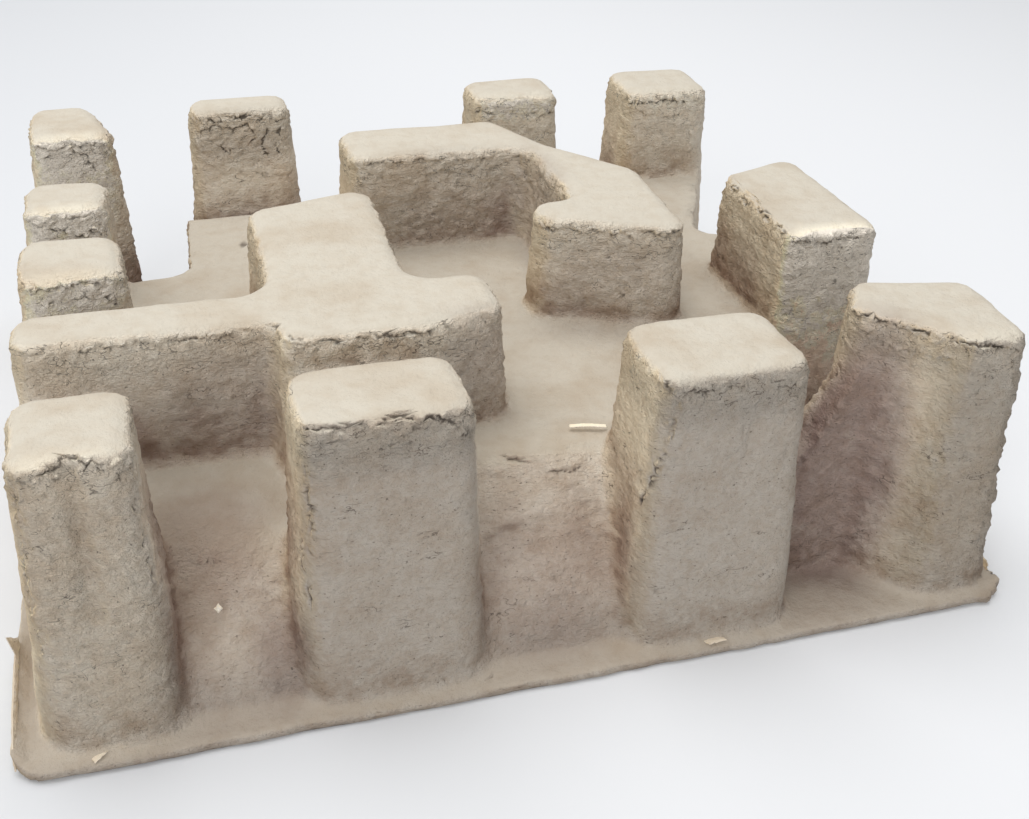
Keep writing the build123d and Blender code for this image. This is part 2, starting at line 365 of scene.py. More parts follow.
SURFACE_PATCHES = (
    SurfacePatch((290, 30, 50), (16, 18, 62), 0.9, 0.2, 1.0),
    SurfacePatch((272, 36, 30), (20, 14, 60), 0.8, 0.1, 0.8),
    SurfacePatch((320, 10, 60), (21, 9, 60), -0.25, 0.8),
    SurfacePatch((338, 26, 60), (8, 30, 60), 0.0, 1.0),
    SurfacePatch((174, 22, 30), (29, 22, 36), 0.55, 0.1, 0.75),
    SurfacePatch((66, 24, 22), (26, 26, 30), 0.30, 0.1, 0.5),
    SurfacePatch((67, 50, 56), (24, 18, 22), 0.50, 0.1, 0.45),
    SurfacePatch((87, 40, 42), (6, 16, 24), -0.12, 0.1, 0.2),
    SurfacePatch((84, 16, 20), (10, 14, 20), 0.40, 0.2, 0.5),
    SurfacePatch((186, 213, 82), (42, 9, 32), 0.16, 0.5, 1.0),
    SurfacePatch((221, 190, 84), (9, 30, 32), 0.4, 0.3, 0.8),
    SurfacePatch((84, 78, 80), (30, 8, 22), 0.30, 0.4, 0.9),
    SurfacePatch((162, 70, 84), (20, 8, 26), 0.40, 0.4, 0.8),
    SurfacePatch((232, 126, 78), (34, 16, 26), 0.26, 0.5, 0.7),
    SurfacePatch((289, 138, 74), (9, 46, 44), 0.08, 0.6, 0.5),
    SurfacePatch((275, 12, 4), (24, 16, 9), 0.2),
    SurfacePatch((66, 4, 3), (40, 8, 6), 0.1),
    SurfacePatch((310, 99, 74), (28, 8, 52), -1.0, 1.0),
    SurfacePatch((30, 9, 56), (26, 9, 62), -0.65, 1.0, 0.3),
    SurfacePatch((32, 124, 88), (24, 7, 26), -0.42, 1.0, 0.4),
    SurfacePatch((32, 184, 88), (24, 7, 26), -0.50, 1.0, 0.4),
    SurfacePatch((32, 261, 88), (26, 7, 30), -0.42, 0.9, 0.4),
    SurfacePatch((106, 284, 96), (28, 7, 16), 0.05, 0.9, 0.6),
    SurfacePatch((312, 269, 88), (28, 7, 26), -0.1, 0.7, 0.4),
    SurfacePatch((236, 276, 92), (28, 7, 20), -0.2, 0.7, 0.4),
)


def patch_sum(points: np.ndarray, quality: str) -> np.ndarray:
    """The sum of the patches' tone, crust or rough, each faded by exp(-distance^4)."""
    total = np.zeros(len(points))
    for stain in SURFACE_PATCHES:
        away = (points - CORNER - np.array(stain.middle)) / np.array(stain.radii)
        total += getattr(stain, quality) * np.exp(-np.sum(away ** 2, axis=1) ** 2)
    return np.clip(total, -1.0, 1.0)


@dataclass
class PulpShell:
    """The moulded shell: even in thickness, but bent, wrinkled and torn as pulp dries."""

    grid: float = 1.25
    faces_kept: int = 120_000
    faces_allowed: int = 185_000
    longest_edge: float = 8.0
    tower_height: float = 108.0
    plate_radius: float = 11.0
    root_passes: int = 44
    root_spread: int = 6
    bend: float = 1.0
    bend_length: float = 46.0
    pillow: float = 2.5
    pillow_size: tuple = (7.0, 7.0, 4.4)
    pillow_warp: float = 2.2
    fold: float = 1.1
    fold_height: float = 4.6
    fold_size: tuple = (15.0, 12.0, 15.0)
    lump: float = 0.34
    lump_size: float = 15.0
    streak: float = 2.0
    streak_size: tuple = (4.2, 4.2, 17.0)
    edge_spread: int = 3
    crumb: float = 2.2
    crumb_size: float = 4.6
    chip: float = 0.9
    chip_size: float = 6.5
    ledge_levels: tuple = ((103.6, 0.55), (98.0, 0.45), (91.0, 0.35))
    ledge_wave: float = 2.6
    fray: float = 0.5
    fray_size: float = 9.0
    corner_lift: float = 0.7
    curl: float = 6.0
    box_margin: float = 0.02
    half_wall: float = 1.6
    refined_within: tuple = (2.4, 1.3)
    groove_width: float = 0.38
    torn_within: float = 14.0
    seed: int = 4
    tears: tuple = field(default=TEARS, repr=False)
    dents: tuple = field(default=DENTS, repr=False)

    def build(self) -> bpy.types.Object:
        """Makes the shell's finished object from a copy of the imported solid's mesh."""
        shell = self.remeshed()
        points, normals, edges = self.arrays(shell)
        around = Surroundings(points)
        outer = self.blended(around.outer(points, normals), edges, passes=5)
        points = self.with_soft_roots(points, normals, outer, edges)
        worn = self.worn_edges(points, normals, edges) * outer
        shelter = self.blended(around.shelter(points, normals), edges, passes=8)
        points = self.bent(self.frayed(points))
        normals = self.normals_of(shell, points)
        seen = outer > 0.02
        relief = self.relief(points[seen], normals[seen], shelter[seen])
        relief = (relief + self.crumbs(points[seen], normals[seen], worn[seen])) * outer[seen]
        points[seen] += normals[seen] * relief[:, None]
        self.place(shell, points)
        self.thin_out(shell, self.faces_kept)
        self.split_long_edges(shell)
        points, normals, _ = self.arrays(shell)
        skin = points[around.outer(points, normals) > 0.5]
        paths = [self.on_skin(skin, tear.path) for tear in self.tears]
        self.refine_at_tears(shell, paths)
        self.keep(shell, "crack", self.tear(shell, paths))
        self.thin_out(shell, self.faces_allowed)
        points, normals, edges = self.arrays(shell)
        outer = self.blended(around.outer(points, normals), edges, passes=3)
        crack = np.maximum(self.kept(shell, "crack"), self.ledges(points, normals)[1] * outer)
        self.place(shell, self.within_box(points))
        self.keep(shell, "crack", crack)
        self.keep(shell, "tone", patch_sum(points, "tone"))
        self.keep(shell, "crust", np.maximum(patch_sum(points, "crust"), 0.8 * self.rim_of(points)))
        self.keep(shell, "shelter", self.blended(around.shelter(points, normals), edges, passes=6))
        self.keep(shell, "foot", self.blended(around.foot(points, normals), edges, passes=3))
        shell.data.shade_smooth()
        return shell

    def noise(self, layer: Layer, index: int = 0) -> Noise:
        """One of the shell's random fields."""
        return Noise(self.seed + layer + index)

    @staticmethod
    def keep(shell: bpy.types.Object, name: str, values: np.ndarray) -> None:
        """Stores a value for each point, which the finish reads by this name."""
        stored = shell.data.attributes.get(name)
        if stored is None:
            stored = shell.data.attributes.new(name, "FLOAT", "POINT")
        stored.data.foreach_set("value", values.astype(np.float32))

    @staticmethod
    def kept(shell: bpy.types.Object, name: str) -> np.ndarray:
        """The values that the shell's points carry under this name."""
        values = np.empty(len(shell.data.vertices), np.float32)
        shell.data.attributes[name].data.foreach_get("value", values)
        return values

    def blended(self, values: np.ndarray, edges: np.ndarray, passes: int) -> np.ndarray:
        """The values averaged with their neighbours', a number of times."""
        for _ in range(passes):
            values = 0.5 * values + 0.5 * self.averaged(values, edges)
        return values

    def remeshed(self) -> bpy.types.Object:
        """A copy of the node's mesh, merged, and laid out anew on an even grid of small faces."""
        merged = bmesh.new()
        merged.from_mesh(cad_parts[NODE].data)
        bmesh.ops.remove_doubles(merged, verts=merged.verts, dist=0.002 * MM)
        mesh = bpy.data.meshes.new("shell_source")
        merged.to_mesh(mesh)
        merged.free()
        source = bpy.data.objects.new("shell_source", mesh)
        bpy.context.scene.collection.objects.link(source)
        remesh = source.modifiers.new("even_faces", "REMESH")
        remesh.mode = "VOXEL"
        remesh.voxel_size = self.grid * MM
        remesh.adaptivity = 0.0
        graph = bpy.context.evaluated_depsgraph_get()
        mesh = bpy.data.meshes.new_from_object(source.evaluated_get(graph))
        bpy.data.objects.remove(source)
        made = bpy.data.objects.new("pulp_shell", mesh)
        bpy.context.scene.collection.objects.link(made)
        return made

    @staticmethod
    def arrays(shell: bpy.types.Object) -> tuple[np.ndarray, np.ndarray, np.ndarray]:
        """The shell's points in millimetres, its normals and the point pairs of its edges."""
        mesh = shell.data
        points = np.empty(len(mesh.vertices) * 3)
        mesh.vertices.foreach_get("co", points)
        normals = np.empty(len(mesh.vertices) * 3)
        mesh.vertices.foreach_get("normal", normals)
        edges = np.empty(len(mesh.edges) * 2, np.int32)
        mesh.edges.foreach_get("vertices", edges)
        return points.reshape(-1, 3) / MM, normals.reshape(-1, 3), edges.reshape(-1, 2)

    @staticmethod
    def place(shell: bpy.types.Object, points: np.ndarray) -> None:
        """Moves the shell's points to these places, in millimetres."""
        shell.data.vertices.foreach_set("co", (points * MM).astype(np.float32).ravel())
        shell.data.update()

    def normals_of(self, shell: bpy.types.Object, points: np.ndarray) -> np.ndarray:
        """The normals that the shell has with these points."""
        self.place(shell, points)
        normals = np.empty(len(points) * 3)
        shell.data.vertices.foreach_get("normal", normals)
        return normals.reshape(-1, 3)

    @staticmethod
    def averaged(values: np.ndarray, edges: np.ndarray) -> np.ndarray:
        """The mean of each point's neighbours along the edges, for each column of values."""
        count = np.bincount(edges.ravel(), minlength=len(values)).astype(float)
        columns = []
        for column in values.reshape(len(values), -1).T:
            total = np.bincount(edges[:, 0], column[edges[:, 1]], len(values))
            total += np.bincount(edges[:, 1], column[edges[:, 0]], len(values))
            columns.append(total / np.maximum(count, 1.0))
        return np.stack(columns, axis=1).reshape(values.shape)

    def with_soft_roots(
        self, points: np.ndarray, normals: np.ndarray, outer: np.ndarray, edges: np.ndarray
    ) -> np.ndarray:
        """Rounds the roots where walls meet the deck and the plate.

        In each pass a point near a root moves towards the mean of its neighbours. A root is a
        hollow of the outer skin and a ridge of the inner one, so the wall stays even.

        Args:
            points: the shell's points, in millimetres.
            normals: their normals.
            outer: 1 on the outer skin and 0 on the inner one.
            edges: the point pairs of the edges.

        Returns:
            The moved points.
        """
        bulge = np.sum((self.averaged(points, edges) - points) * normals, axis=1)
        hollow = np.where(outer > 0.5, bulge, -bulge)
        hollow = self.blended(hollow, edges, passes=3)
        near_root = smooth_step(0.02, 0.06, hollow)
        for _ in range(self.root_spread):
            near_root = np.maximum(near_root, 0.9 * self.averaged(near_root, edges))
        near_root *= smooth_step(2.6, 3.4, points[:, 2])
        for _ in range(self.root_passes):
            step = self.averaged(points, edges) - points
            points = points + 0.6 * near_root[:, None] * step
        return points

    def frayed(self, points: np.ndarray) -> np.ndarray:
        """Frays the plate's rim inwards, curls it up in places and lifts its front corners.

        The rim's distance is that from a rectangle with round corners. The fray is a random
        field along the rim, the curl rises smoothly towards the rim, and the lift grows with
        the square of the distance from the middle.

        Args:
            points: the shell's points, in millimetres.

        Returns:
            The moved points.
        """
        half = -CORNER[:2]
        inner = np.abs(points[:, :2]) - (half - self.plate_radius)
        beyond = np.maximum(inner, 0.0)
        within = np.minimum(np.max(inner, axis=1), 0.0)
        depth = self.plate_radius - np.linalg.norm(beyond, axis=1) - within
        low = smooth_step(9.0, 5.0, points[:, 2]) * smooth_step(8.0, 0.0, depth)
        plan = points * np.array((1.0, 1.0, 0.35))
        ragged = self.noise(Layer.FRAY).layered(plan / self.fray_size, layers=3, gain=0.6)
        inward = self.fray * low * np.clip(0.35 + ragged, 0.0, 1.6)
        towards = -points[:, :2] / np.maximum(np.linalg.norm(points[:, :2], axis=1), 1.0)[:, None]
        moved = points.copy()
        moved[:, :2] += inward[:, None] * towards
        curled = self.curl * smooth_step(6.5, 0.5, depth) * low * self.curl_places(points)
        moved[:, 2] += curled
        share = np.abs(points[:, 0]) / half[0]
        front = smooth_step(-0.2, -0.9, points[:, 1] / half[1])
        lift = self.corner_lift * share ** 2 * front * smooth_step(30.0, 6.0, points[:, 2])
        moved[:, 2] += lift
        return moved

    def curl_places(self, points: np.ndarray) -> np.ndarray:
        """Where the rim is curled up: along the left side's front part and at the right corner."""
        across, along = (points[:, :2] - CORNER[:2]).T
        ragged = 0.65 + 0.6 * self.noise(Layer.CURL).layered(points / 7.0, layers=2, gain=0.6)
        left = smooth_step(6.0, 2.0, across) * smooth_step(2.0, 9.0, along)
        left *= smooth_step(78.0, 58.0, along)
        right = smooth_step(339.0, 343.0, across) * smooth_step(3.0, 9.0, along)
        right *= smooth_step(34.0, 22.0, along)
        return np.clip(ragged, 0.1, 1.2) * (0.55 * left + right)

    def bent(self, points: np.ndarray) -> np.ndarray:
        """Moves both skins together, as the drying walls bend: three slow random fields."""
        moved = points.copy()
        grip = smooth_step(0.0, 22.0, points[:, 2])
        for axis in range(3):
            noise = self.noise(Layer.BEND, axis)
            slow = noise.at(points / self.bend_length)
            quick = noise.at(points / (self.bend_length * 0.42) + 31.7)
            share = 0.55 * grip if axis == 2 else 0.35 + 0.65 * grip
            moved[:, axis] += self.bend * share * (slow + 0.45 * quick)
        return moved

    def relief(
        self, points: np.ndarray, normals: np.ndarray, shelter: np.ndarray
    ) -> np.ndarray:
        """How far each point of the skin stands out along its normal, in millimetres.

        Sheltered walls were pressed least. They have pillows, the rounded parts of a random
        field whose folds at zero are creases, and folds that lie across them: a saw of the
        height, bent by another field. Open walls have faint ones, and the tops almost none.

        Args:
            points: the shell's points, in millimetres.
            normals: their normals.
            shelter: how sheltered each point is.

        Returns:
            The height of the relief at each point.
        """
        steep = smooth_step(0.85, 0.50, np.abs(normals[:, 2]))
        rough = smooth_step(0.10, 0.42, shelter)
        calm = smooth_step(CORNER[1] + 13.0, CORNER[1] + 19.0, points[:, 1])
        rough = np.clip(0.14 + 0.5 * rough, 0.0, 1.0) * (0.22 + 0.78 * calm)
        rough = np.maximum(rough, np.clip(patch_sum(points, "rough"), 0.0, 1.0))
        lines = self.streak_share(points, normals)
        rough *= 1.0 - 0.8 * lines
        warp = self.pillow_warp * self.noise(Layer.PILLOW_WARP).at(points / 7.0)
        shifted = points + warp[:, None] * np.array((1.0, 0.6, 0.5))
        shifted /= np.array(self.pillow_size)
        domes = self.noise(Layer.PILLOWS).layered(shifted, layers=2, gain=0.45)
        pillows = np.sqrt(np.abs(domes) + 0.01) - 0.55
        place = points / np.array(self.fold_size)
        bend = self.noise(Layer.FOLDS).layered(place, layers=3, gain=0.6)
        tooth = 1.0 - np.mod(points[:, 2] / self.fold_height + 1.1 * bend, 1.0)
        presence = smooth_step(-0.2, 0.4, self.noise(Layer.FOLD_PRESENCE).at(points / 12.0))
        leaning = smooth_step(0.25, 0.45, normals[:, 2])
        pillows *= self.pillow * (1.0 - 0.72 * leaning)
        folds = self.fold * (tooth - 0.5) * presence * (0.7 + 0.3 * leaning)
        height = steep * rough * (pillows + folds)
        slow = self.noise(Layer.SLOW).layered(points / self.lump_size, layers=3)
        height += self.lump * slow * (0.15 + 0.85 * steep)
        height += self.streaks(points, normals)
        height += self.ledges(points, normals)[0]
        for dent in self.dents:
            path = self.on_skin(points, dent.path)
            found = self.near(points, path, 3.0 * dent.radius)
            distance = self.reach_of(points[found], normals[found], path)[0]
            height[found] -= dent.depth * np.exp(-((distance / dent.radius) ** 2))
        return height

    def worn_edges(
        self, points: np.ndarray, normals: np.ndarray, edges: np.ndarray
    ) -> np.ndarray:
        """How near each point is to a rounded edge, where the skin crumbles.

        At an edge a point stands out from the mean of its neighbours. That distance is evened
        out and spread to the points around.
        """
        ridge = np.sum((points - self.averaged(points, edges)) * normals, axis=1)
        for _ in range(4):
            ridge = 0.4 * ridge + 0.6 * self.averaged(ridge, edges)
        worn = smooth_step(0.012, 0.04, ridge)
        for _ in range(self.edge_spread):
            worn = np.maximum(worn, 0.94 * self.averaged(worn, edges))
        return worn * smooth_step(8.0, 20.0, points[:, 2])

    def rim_of(self, points: np.ndarray) -> np.ndarray:
        """How near each point is to the height of the towers' top edges, from below."""
        rise = self.tower_height - points[:, 2]
        return smooth_step(22.0, 9.0, rise) * smooth_step(0.5, 3.0, rise)

    def crumbs(self, points: np.ndarray, normals: np.ndarray, worn: np.ndarray) -> np.ndarray:
        """The crumbled skin: small scales and chips along worn edges, rims and crusts.

        A random field's distance from zero makes scales with creases between them, and where
        another field is high a chip has come away.

        Args:
            points: the shell's points, in millimetres.
            normals: their normals.
            worn: how near each point is to a worn edge.

        Returns:
            The height of the crumbs at each point.
        """
        steep = smooth_step(0.80, 0.40, np.abs(normals[:, 2]))
        share = np.maximum(0.9 * worn, 0.5 * self.rim_of(points))
        share = steep * np.maximum(share, 0.75 * patch_sum(points, "crust"))
        scales = self.noise(Layer.SCALES).layered(points / self.crumb_size, layers=3, gain=0.6)
        chips = self.noise(Layer.CHIPS).layered(points / self.chip_size, layers=2, gain=0.6)
        chips = smooth_step(0.15, 0.55, chips)
        return share * (self.crumb * (np.minimum(np.abs(scales), 0.5) - 0.28) - self.chip * chips)

    def streak_share(self, points: np.ndarray, normals: np.ndarray) -> np.ndarray:
        """Where the upright ridges are: on the fronts of the two towers at the right."""
        right = smooth_step(CORNER[0] + 286.0, CORNER[0] + 300.0, points[:, 0])
        right *= np.maximum(smooth_step(CORNER[0] + 322.0, CORNER[0] + 332.0, points[:, 0]),
                            smooth_step(CORNER[1] + 80.0, CORNER[1] + 90.0, points[:, 1]))
        right *= smooth_step(CORNER[1] + 150.0, CORNER[1] + 130.0, points[:, 1])
        return right * smooth_step(0.35, 0.7, -normals[:, 1])

    def streaks(self, points: np.ndarray, normals: np.ndarray) -> np.ndarray:
        """Upright ridges: a random field stretched in height, with sharp valleys at its zeros."""
        place = points / np.array(self.streak_size)
        lines = self.noise(Layer.STREAKS).layered(place, layers=2, gain=0.6)
        share = self.streak_share(points, normals)
        return self.streak * share * (np.sqrt(np.abs(lines) + 0.005) - 0.5)

    def ledges(self, points: np.ndarray, normals: np.ndarray) -> tuple[np.ndarray, np.ndarray]:
        """Wavy ledges round the top edges, where one layer of pulp ends over the next.

        Each follows a level of the height, moved up and down by a random field. The skin above
        stands out towards the ledge and that below sinks, both dying out exponentially.

        Args:
            points: points in millimetres.
            normals: their normals.

        Returns:
            The height of the relief, and how deep in a crack each point is.
        """
        height = np.zeros(len(points))
        crack = np.zeros(len(points))
        slanted = smooth_step(0.93, 0.75, np.abs(normals[:, 2]))
        for index, (level, size) in enumerate(self.ledge_levels):
            wave = self.noise(Layer.LEDGES, index)
            moved = self.ledge_wave * wave.layered(points / 9.0, layers=3, gain=0.62)
            rise = points[:, 2] - level - moved
            shown = wave.layered(points / 8.0 + 50.0, layers=2)
            shown = slanted * smooth_step(-0.05, 0.35, shown)
            above = np.where(rise > 0.0, np.exp(-np.abs(rise) / 3.2), 0.0)
            below = np.where(rise <= 0.0, np.exp(-np.abs(rise) / 2.4), 0.0)
            height += size * shown * (above - 0.5 * below)
            line = np.exp(-(((rise + 0.2) / 0.4) ** 2))
            crack = np.maximum(crack, line * shown * size)
        return height, crack

    def within_box(self, points: np.ndarray) -> np.ndarray:
        """Draws the points back into the solid's own box, by the share that they stand out."""
        low = np.array(CAD_BOX[0]) / MM + self.box_margin
        high = np.array(CAD_BOX[1]) / MM - self.box_margin
        middle = (low + high) / 2.0
        share = ((high - low) / 2.0) / np.maximum(points.max(0) - middle, middle - points.min(0))
        points = middle + (points - middle) * np.minimum(share, 1.0)
        points[:, 2] -= points[:, 2].min()
        return points

    @staticmethod
    def thin_out(shell: bpy.types.Object, allowed: int) -> None:
        """Joins the faces that show least, down to the number allowed."""
        shell.data.calc_loop_triangles()
        count = len(shell.data.loop_triangles)
        LOG.info("before thinning: %d triangles", count)
        thin = shell.modifiers.new("fewer_faces", "DECIMATE")
        thin.decimate_type = "COLLAPSE"
        thin.ratio = min(1.0, allowed / count)
        graph = bpy.context.evaluated_depsgraph_get()
        mesh = bpy.data.meshes.new_from_object(shell.evaluated_get(graph))
        shell.modifiers.clear()
        old = shell.data
        shell.data = mesh
        bpy.data.meshes.remove(old)
        mesh.name = shell.name

    def split_long_edges(self, shell: bpy.types.Object) -> None:
        """Halves the long edges of level faces, so that what the points carry is fine enough."""
        fine = bmesh.new()
        fine.from_mesh(shell.data)
        for _ in range(4):
            edges = [e for e in fine.edges if e.calc_length() > self.longest_edge * MM]
            bmesh.ops.subdivide_edges(fine, edges=edges, cuts=1)
            bmesh.ops.triangulate(fine, faces=fine.faces)
        fine.to_mesh(shell.data)
        fine.free()

    @staticmethod
    def on_skin(skin: np.ndarray, path: tuple) -> np.ndarray:
        """The path, in the part's frame, with each point moved to the skin's nearest point."""
        path = np.array(path, float) + CORNER
        return np.array([skin[np.argmin(np.sum((skin - place) ** 2, axis=1))] for place in path])

    @staticmethod
    def near(points: np.ndarray, path: np.ndarray, margin: float) -> np.ndarray:
        """The indices of the points in the path's box, grown by the margin."""
        inside = np.all(points > path.min(0) - margin, axis=1)
        return np.flatnonzero(inside & np.all(points < path.max(0) + margin, axis=1))

    def reach_of(
        self, points: np.ndarray, normals: np.ndarray, path: np.ndarray, wander: float = 1.0
    ) -> tuple[np.ndarray, np.ndarray]:
        """Each point's distance from a path along the skin, and how far it is above it.

        The distance is the least over the path's straight runs, each with the nearest point
        found by its clipped share along the run. Its part along the normal counts only beyond
        half the wall's thickness, so that the other skin is far away. A random field makes the
        path wander. Beside a run that stands upright, above means to its right.

        Args:
            points: points in millimetres.
            normals: their normals.
            path: the path's points in the part's frame.
            wander: how far the path may wander, in millimetres.

        Returns:
            The distances and the heights above the path.
        """
        noise = self.noise(Layer.TEAR_PATH)
        shifted = points.copy()
        for axis in range(3):
            place = points / 5.0 + 9.1 * axis
            shifted[:, axis] += wander * noise.layered(place, layers=3, gain=0.65)
        best = np.full(len(points), 1e9)
        above = np.zeros(len(points))
        for start, end in zip(path[:-1], path[1:]):
            run = end - start
            share = np.clip((shifted - start) @ run / (run @ run + 1e-9), 0.0, 1.0)
            away = shifted - (start + share[:, None] * run)
            depth = np.abs(np.sum(away * normals, axis=1))
            along = np.maximum(np.sum(away ** 2, axis=1) - depth ** 2, 0.0)
            distance = np.sqrt(along + (4.0 * np.maximum(depth - self.half_wall, 0.0)) ** 2)
            upright = abs(run[2]) > 2.0 * np.linalg.norm(run[:2])
            rise = away[:, 0] if upright else away[:, 2]
            nearer = distance < best
            best[nearer] = distance[nearer]
            above[nearer] = rise[nearer]
        return best, above

    def refine_at_tears(self, shell: bpy.types.Object, paths: list) -> None:
        """Splits the faces near the tears' paths twice, so that a crack has an edge of its own."""
        fine = bmesh.new()
        fine.from_mesh(shell.data)
        for reach in self.refined_within:
            points = np.array([vertex.co for vertex in fine.verts]) / MM
            normals = np.array([vertex.normal for vertex in fine.verts])
            near = np.zeros(len(points), bool)
            for tear, path in zip(self.tears, paths):
                found = self.near(points, path, reach + 3.0)
                away = self.reach_of(points[found], normals[found], path, tear.wander)[0]
                near[found] |= away < reach
            edges = [e for e in fine.edges if near[e.verts[0].index] and near[e.verts[1].index]]
            bmesh.ops.subdivide_edges(fine, edges=edges, cuts=1, use_grid_fill=True)
            bmesh.ops.triangulate(fine, faces=fine.faces)
            fine.verts.index_update()
            fine.normal_update()
        fine.to_mesh(shell.data)
        fine.free()

    def tear(self, shell: bpy.types.Object, paths: list) -> np.ndarray:
        """Opens the tears: the skin above lifts off towards the crack, and the one below sinks.

        The lift above the crack and the sinking below it fall off exponentially. Between them
        lies a narrow groove, exp(-distance^2), and a random field makes all three stronger and
        weaker.

        Args:
            shell: the shell's object.
            paths: the tears' paths on the skin.

        Returns:
            How deep in a tear each point is.
        """
        points, normals, _ = self.arrays(shell)
        height = np.zeros(len(points))
        crack = np.zeros(len(points))
        strength_field = self.noise(Layer.TEAR_STRENGTH)
        for tear, path in zip(self.tears, paths):
            found = self.near(points, path, self.torn_within)
            distance, above = self.reach_of(points[found], normals[found], path, tear.wander)
            strength = strength_field.layered(points[found] / 7.0, layers=2)
            strength = smooth_step(-0.5, 0.1, strength)
            fade = np.exp(-distance / tear.reach)
            lifted = 0.8 * tear.lift * fade * smooth_step(-0.1, 0.3, above)
            sunk = -0.3 * tear.lift * fade * smooth_step(0.1, -0.3, above)
            groove = np.exp(-((distance / self.groove_width) ** 2))
            height[found] += (lifted + sunk - tear.drop * groove) * strength
            crack[found] = np.maximum(crack[found], groove * strength * min(1.0, tear.drop))
        self.place(shell, points + normals * height[:, None])
        return crack


@dataclass(frozen=True)
class Flake:
    """A scrap of dry pulp that sticks to the insert: a thin plate with these corners.

    The corners go round the plate, and are measured as a tear's path is.
    """

    corners: tuple
    thickness: float = 0.7
    ragged: float = 0.5
    # Paleness: the flake's own paler colour, and painted light that lifts it out of its shade
    pale: float = 0.6


FLAKES = (
    Flake(((1.3, 62, 2.4), (1.3, 6, 2.4), (0.9, 8, 6.0), (0.7, 24, 8.6), (0.6, 44, 9.0),
           (0.8, 61, 8.5)), 1.3, 0.9, 0.5),
    Flake(((1.0, 62.0, 7.0), (1.0, 51.0, 7.5), (0.6, 44.0, 23.0)), 0.9, 0.5, 0.9),
    Flake(((22.4, 6.2, 3.6), (29.6, 6.5, 4.0), (28.0, 3.0, 6.2), (24.4, 1.0, 4.6)), 0.7, 0.4, 0.9),
    Flake(((225.2, 5.6, 4.0), (232.4, 5.9, 4.1), (233.0, 2.2, 5.2), (226.0, 1.7, 5.0)),
          0.8, 0.4, 0.8),
    Flake(((191.0, 57.7, 64.9), (197.0, 56.7, 65.2), (203.6, 54.6, 64.9), (203.2, 53.2, 64.7),
           (196.6, 54.9, 65.0), (190.7, 56.3, 64.7)), 0.8, 0.25, 1.6),
    Flake(((65.0, 31.0, 31.9), (66.6, 31.4, 33.4), (67.8, 30.2, 32.0), (66.2, 29.4, 30.8)),
          0.9, 0.2, 2.2),
    Flake(((343.4, 12.0, 3.0), (344.1, 26.0, 3.0), (344.1, 22.0, 8.5), (344.0, 14.0, 7.5)),
          1.0, 0.8, 0.3),
)


@dataclass
class PulpFlakes:
    """The flakes on the insert, all in one mesh."""

    pieces_a_side: int = 7
    seed: int = 61
    flakes: tuple = field(default=FLAKES, repr=False)

    def build(self) -> bpy.types.Object:
        """Makes the flakes' object."""
        points, faces, tones = [], [], []
        total = 0
        rng = np.random.default_rng(self.seed)
        for flake in self.flakes:
            made = self.plate(flake, rng)
            points.append(made.points)
            faces += [tuple(total + index for index in face) for face in made.faces]
            # A flake's paleness is its own paler colour and painted light that lifts it out of its
            # shade
            tones.append(np.full(len(made.points), -flake.pale))
            total += len(made.points)
        shell = MeshData(np.concatenate(points), faces).to_object("pulp_flakes")
        for name in ("crack", "crust", "shelter", "foot"):
            PulpShell.keep(shell, name, np.zeros(total))
        PulpShell.keep(shell, "tone", np.concatenate(tones))
        return shell

    def plate(self, flake: Flake, rng: np.random.Generator) -> MeshData:
        """One flake as a closed plate.

        Its rim goes straight from corner to corner, and each of its points is moved at random
        towards the middle. Rings between the rim and the middle carry a slight dome.

        Args:
            flake: the flake.
            rng: the source of the random moves.

        Returns:
            The plate's mesh.
        """
        corners = np.array(flake.corners, float) + CORNER
        share = np.arange(self.pieces_a_side) / self.pieces_a_side
        rim = np.concatenate([
            start + share[:, None] * (end - start)
            for start, end in zip(corners, np.roll(corners, -1, axis=0))
        ])
        middle = rim.mean(0)
        inward = np.clip(rng.normal(0.5, 0.5, len(rim)), 0.0, 1.5) * flake.ragged
        towards = middle - rim
        towards /= np.linalg.norm(towards, axis=1, keepdims=True)
        rim = rim + inward[:, None] * towards
        normal = np.cross(corners[1] - corners[0], corners[-1] - corners[0])
        normal /= np.linalg.norm(normal)
        half = 0.5 * flake.thickness * normal
        rings = [rim - 0.4 * half, middle + 0.55 * (rim - middle) - half, rim + 0.4 * half]
        rings.append(middle + 0.55 * (rim - middle) + half)
        points = np.concatenate(rings + [[middle - half], [middle + half]])
        count = len(rim)
        here = np.arange(count)
        after = np.roll(here, -1)
        faces = []
        for low, high in ((1, 0), (0, 2), (2, 3)):
            low, high = low * count, high * count
            faces += np.stack((low + here, low + after, high + after, high + here), 1).tolist()
        below, top = np.full(count, 4 * count), np.full(count, 4 * count + 1)
        faces += np.stack((below, count + after, count + here), 1).tolist()
        faces += np.stack((top, 3 * count + here, 3 * count + after), 1).tolist()
        return MeshData(points, faces)


